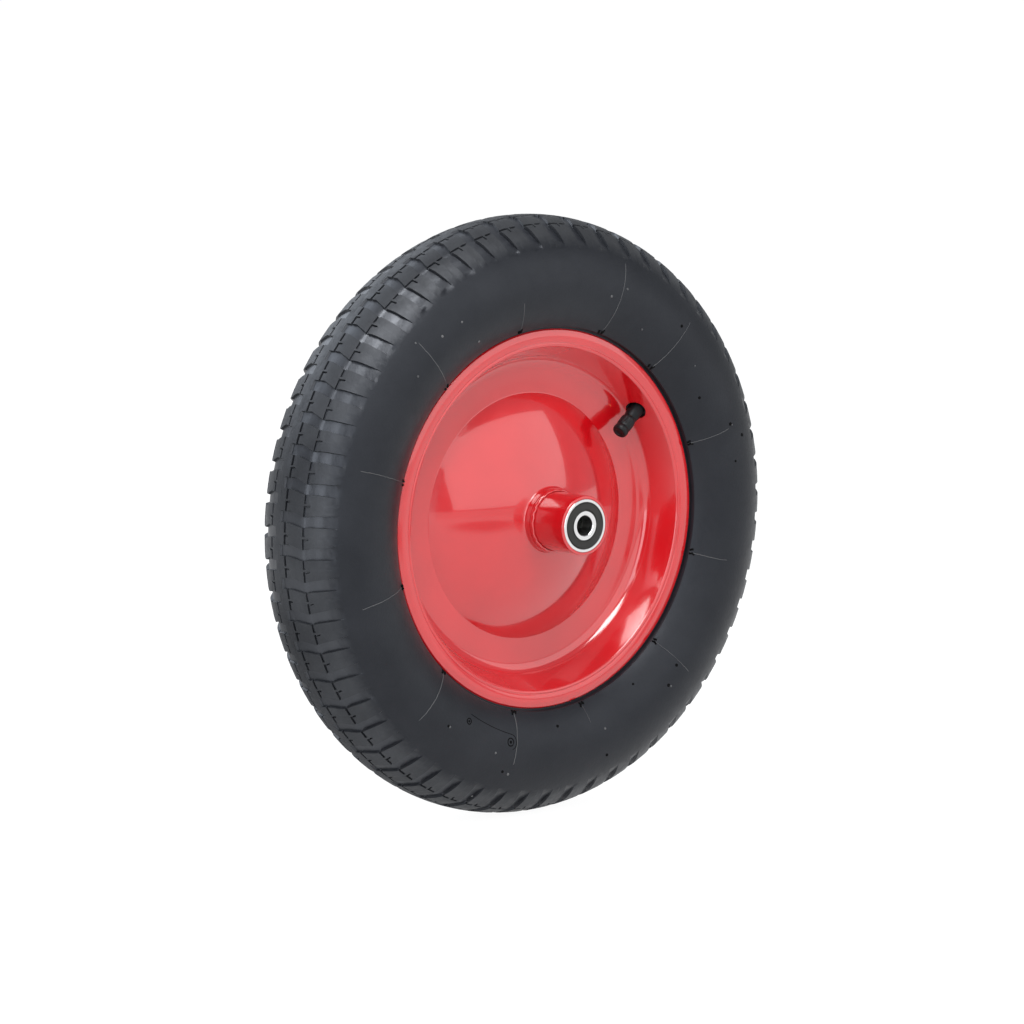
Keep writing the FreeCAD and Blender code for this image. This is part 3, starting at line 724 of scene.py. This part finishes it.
def weld_mesh(sign):
    """Closed ring with a rippled section; sign 1 is the front."""
    steps, around = 360, 14
    vertices = []
    phase = RANDOM.uniform(0, 360)
    swell = RANDOM.normal(0, 1, 12)
    for i in range(steps):
        theta = 360.0 * i / steps
        slow = sum(swell[k] * math.sin(math.radians((k % 6 + 1) * theta) + k) for k in range(12)) * 0.07
        ripple = WELD_RIPPLE * math.cos(math.radians(theta * WELD_DROPS + phase) + slow * 6)
        width = 1.55 + slow + ripple
        height = 1.5 + slow * 0.8 - ripple * 0.6
        middle = WELD_MIDDLE + slow * 0.5
        for j in range(around):
            angle = 2 * math.pi * j / around
            r = TUBE_RADIUS + 0.55 + max(-0.55, height * 0.62 * math.cos(angle))
            h = middle + width * math.sin(angle)
            vertices.append(place(r, theta, sign * h))
    faces = []
    for i in range(steps):
        for j in range(around):
            a, b = i * around + j, i * around + (j + 1) % around
            c, d = ((i + 1) % steps) * around + (j + 1) % around, ((i + 1) % steps) * around + j
            faces.append((a, b, c, d) if sign > 0 else (a, d, c, b))
    return vertices, faces


# Stage


def camera():
    azimuth, elevation = math.radians(CAMERA_AZIMUTH), math.radians(CAMERA_ELEVATION)
    back = Vector((
        math.sin(azimuth) * math.cos(elevation),
        -math.cos(azimuth) * math.cos(elevation),
        math.sin(elevation),
    ))
    right = Vector((math.cos(azimuth), math.sin(azimuth), 0.0))
    up = back.cross(right)
    data = bpy.data.cameras.new("camera")
    data.sensor_width = SENSOR_MM
    data.lens = CAMERA_FOCAL_PX * SENSOR_MM / PICTURE_PX
    data.clip_start = 0.1
    data.clip_end = 50.0
    obj = bpy.data.objects.new("camera", data)
    bpy.context.scene.collection.objects.link(obj)
    turn = Matrix((right, up, back)).transposed().to_4x4()
    spot = back * CAMERA_DISTANCE - right * CAMERA_RIGHT_OFFSET - up * CAMERA_UP_OFFSET
    obj.matrix_world = Matrix.Translation(spot) @ turn
    bpy.context.scene.camera = obj


# Soft boxes: name, direction from the wheel, width and height in metres, brightness, colour
PANEL_DISTANCE = 2.4
PANELS = (
    ("key", (-0.27, -0.45, 0.85), (1.3, 1.0), 10.0, (1.0, 1.0, 1.0)),
    ("left_panel", (-0.72, -0.58, 0.28), (1.5, 1.9), 2.4, (0.90, 0.94, 1.0)),
    ("front_panel", (0.25, -0.92, 0.40), (3.75, 1.95), 1.15, (1.0, 1.0, 1.0)),
    ("back_panel", (-0.25, 0.74, 0.62), (3.2, 2.0), 1.9, (0.86, 0.92, 1.0)),
)


def panel(name, direction, size, radiance, color):
    """Soft box of a given brightness that faces the wheel."""
    data = bpy.data.lights.new(name, "AREA")
    data.shape = "RECTANGLE"
    data.size, data.size_y = size
    data.energy = radiance * math.pi * size[0] * size[1]
    data.color = color
    obj = bpy.data.objects.new(name, data)
    bpy.context.scene.collection.objects.link(obj)
    obj.location = Vector(direction).normalized() * PANEL_DISTANCE
    obj.rotation_euler = (-obj.location).to_track_quat("-Z", "Y").to_euler()
    obj.visible_camera = False


WORLD_STRENGTH = 0.38


def world():
    """White for the camera and a dimmer, bluish white for everything else."""
    made = bpy.data.worlds.new("white")
    made.use_nodes = True
    tree = made.node_tree
    out = tree.nodes["World Output"]
    plain = tree.nodes["Background"]
    plain.inputs["Color"].default_value = (0.93, 0.96, 1.0, 1.0)
    plain.inputs["Strength"].default_value = WORLD_STRENGTH
    white = tree.nodes.new("ShaderNodeBackground")
    white.inputs["Color"].default_value = (1, 1, 1, 1)
    white.inputs["Strength"].default_value = 1.0
    mix = tree.nodes.new("ShaderNodeMixShader")
    path = tree.nodes.new("ShaderNodeLightPath")
    tree.links.new(path.outputs["Is Camera Ray"], mix.inputs["Fac"])
    tree.links.new(plain.outputs["Background"], mix.inputs[1])
    tree.links.new(white.outputs["Background"], mix.inputs[2])
    tree.links.new(mix.outputs["Shader"], out.inputs["Surface"])
    bpy.context.scene.world = made


FLOOR_HALF = 30.0
FLOOR_GAP = 0.0002
FLOOR_GLOW = 1.16
FLOOR_GLOW_SHARE = 0.82

# Painted shade: darker spots in the floor's glow where the wheel mirrors it, one behind and one in front of
# it: middle, then the distances from it where the shade starts to fade and where it ends, all in metres
SHADES = (
    ((-0.20, 0.30, -TYRE_RADIUS * MM), 0.20, 0.42),
    ((-0.08, -1.30, -TYRE_RADIUS * MM), 0.30, 0.55),
)


def linked_math(tree, operation, first, second):
    """Math node whose inputs are sockets or plain numbers."""
    made = tree.nodes.new("ShaderNodeMath")
    made.operation = operation
    for socket, value in zip(made.inputs, (first, second)):
        if isinstance(value, float):
            socket.default_value = value
        else:
            tree.links.new(value, socket)
    return made.outputs["Value"]


def floor_shade(tree):
    """1 on the open floor and less in the spots of painted shade."""
    spot = tree.nodes.new("ShaderNodeTexCoord")
    levels = []
    for middle, near, far in SHADES:
        away = tree.nodes.new("ShaderNodeVectorMath")
        away.operation = "DISTANCE"
        away.inputs[1].default_value = middle
        tree.links.new(spot.outputs["Object"], away.inputs[0])
        levels.append(ramp(tree, away.outputs["Value"], near, far, 0.2, 1.0))
    return linked_math(tree, "MULTIPLY", *levels)


def floor():
    """White floor that keeps a faint shadow of the wheel, and painted shade in the glow that the wheel
    mirrors.
    """
    size = FLOOR_HALF
    low = -TYRE_RADIUS * MM - FLOOR_GAP
    corners = [(-size, -size, low), (size, -size, low), (size, size, low), (-size, size, low)]
    obj = new_mesh("floor", corners, [(0, 1, 2, 3)])
    material, tree, shader = principled("floor_white", (0.9, 0.9, 0.9), 0.9)
    shader.inputs["Specular IOR Level"].default_value = 0.0
    path = tree.nodes.new("ShaderNodeLightPath")
    level = tree.nodes.new("ShaderNodeMix")
    level.inputs["B"].default_value = FLOOR_GLOW
    tree.links.new(path.outputs["Is Camera Ray"], level.inputs["Factor"])
    # The glow that glossy rays see carries the painted shade; the camera sees an even glow.
    tree.links.new(floor_shade(tree), level.inputs["A"])
    glow = tree.nodes.new("ShaderNodeEmission")
    glow.inputs["Color"].default_value = (1, 1, 1, 1)
    tree.links.new(level.outputs["Result"], glow.inputs["Strength"])
    seen = linked_math(tree, "MAXIMUM", path.outputs["Is Camera Ray"], path.outputs["Is Glossy Ray"])
    both = tree.nodes.new("ShaderNodeMixShader")
    tree.links.new(linked_math(tree, "MULTIPLY", seen, FLOOR_GLOW_SHARE), both.inputs["Fac"])
    tree.links.new(shader.outputs["BSDF"], both.inputs[1])
    tree.links.new(glow.outputs["Emission"], both.inputs[2])
    tree.links.new(both.outputs["Shader"], tree.nodes["Material Output"].inputs["Surface"])
    obj.data.materials.append(material)


def paint_nodes(names, material):
    """Gives solids that show as they are a look of their own."""
    for name in names:
        for slot in frame["nodes"][name].material_slots:
            slot.material = material


def looks():
    """The materials by name."""
    dark_flash, light_flash = (0.045, 0.046, 0.05), (0.12, 0.12, 0.118)
    return {
        "tyre": tyre_material(),
        "flash": rubber_material("flash_look", dark_flash, light_flash, 0.55, 0.7),
        "nib": rubber_material("nib_look", (0.002,) * 3, (0.004,) * 3, 0.7, 0.9, 0.08),
        "red": red_paint(),
        "steel": metal("ground_steel", (0.78, 0.78, 0.78), 0.22),
        "plated": metal("plated_steel_look", (0.62, 0.62, 0.60), 0.3),
        "seal": rubber_material("seal_look", (0.017, 0.0165, 0.014), (0.026, 0.025, 0.021), 0.45, 0.6),
        "stem": rubber_material("stem_look", (0.004, 0.004, 0.0045), (0.008, 0.008, 0.009), 0.4, 0.55, 0.22),
        "brass": metal("brass_look", (0.75, 0.52, 0.22), 0.3),
        "cap": plastic("cap_look", (0.005, 0.005, 0.006), 0.36),
    }


def dress_tyre(look):
    """Tyre skin with its surface shares, and what lies on it."""
    vertices, faces = tyre_mesh()
    tyre = new_mesh("tyre_skin", vertices, faces, 32)
    add(tyre, look["tyre"], "wheel", ("tyre",))
    points = np.asarray(vertices) / MM
    shares = surface_shares(np.hypot(points[:, 0], points[:, 2]), points[:, 1])
    for name, values in zip(("matt", "tread"), shares):
        tyre.data.attributes.new(name, "FLOAT", "POINT").data.foreach_set("value", values)
    small = [
        ("mould_lines", mould_lines(), look["flash"]),
        ("flash_tabs", flash_tabs(), look["nib"]),
        ("plate_marks", plate_outline(), look["nib"]),
        ("dark_nibs", nibs(DARK_NIBS, 0.7, 1.1, 0.5), look["nib"]),
        ("light_nibs", nibs(LIGHT_NIBS, 0.5, 0.9, 0.4), look["flash"]),
    ]
    for name, (vertices, faces), material in small:
        add(new_mesh(name, vertices, faces, 40), material, "wheel")


def dress_rim(look):
    """Rim halves and weld beads."""
    for sign, side in ((1, "front"), (-1, "back")):
        vertices, faces = rim_mesh(sign)
        rim = new_mesh("rim_" + side, vertices, faces, 40)
        if sign > 0:
            cut_valve_hole(rim)
        add(rim, look["red"], "wheel", ("rim_half_" + side,))
    for sign, side in ((1, "front"), (-1, "back")):
        vertices, faces = weld_mesh(sign)
        bead = new_mesh("weld_bead_" + side, vertices, faces, 60)
        add(bead, look["red"], "wheel", ("hub_weld_" + side,))


def paint_solids(look):
    """Looks of the solids that show as they are."""
    paint_nodes(["hub_tube"], look["red"])
    paint_nodes(["inner_tube"], look["stem"])
    for side in ("front", "back"):
        paint_nodes(["outer_ring_" + side, "inner_ring_" + side, "ball_set_" + side], look["steel"])
        paint_nodes(["ball_cage_" + side], look["plated"])
        paint_nodes(["outer_seal_" + side, "inner_seal_" + side], look["seal"])
    paint_nodes(["spacer_sleeve", "valve_pin"], look["plated"])
    paint_nodes(["valve_insert", "valve_core"], look["brass"])


def dress_valve(look):
    """The valve's stem and its screw cap."""
    stem = new_mesh("stem_skin", *valve_piece(STEM_LINE), 40)
    add(stem, look["stem"], "wheel", ("valve_stem",))
    cap = new_mesh("cap_skin", *valve_piece(CAP_LINE, CAP_GRIP), 40)
    add(cap, look["cap"], "cap", ("valve_cap",))


def main():
    look = looks()
    dress_tyre(look)
    dress_rim(look)
    paint_solids(look)
    dress_valve(look)
    bpy.context.scene.view_settings.view_transform = "Standard"
    camera()
    world()
    floor()
    for name, direction, size, radiance, color in PANELS:
        panel(name, direction, size, radiance, color)


main()
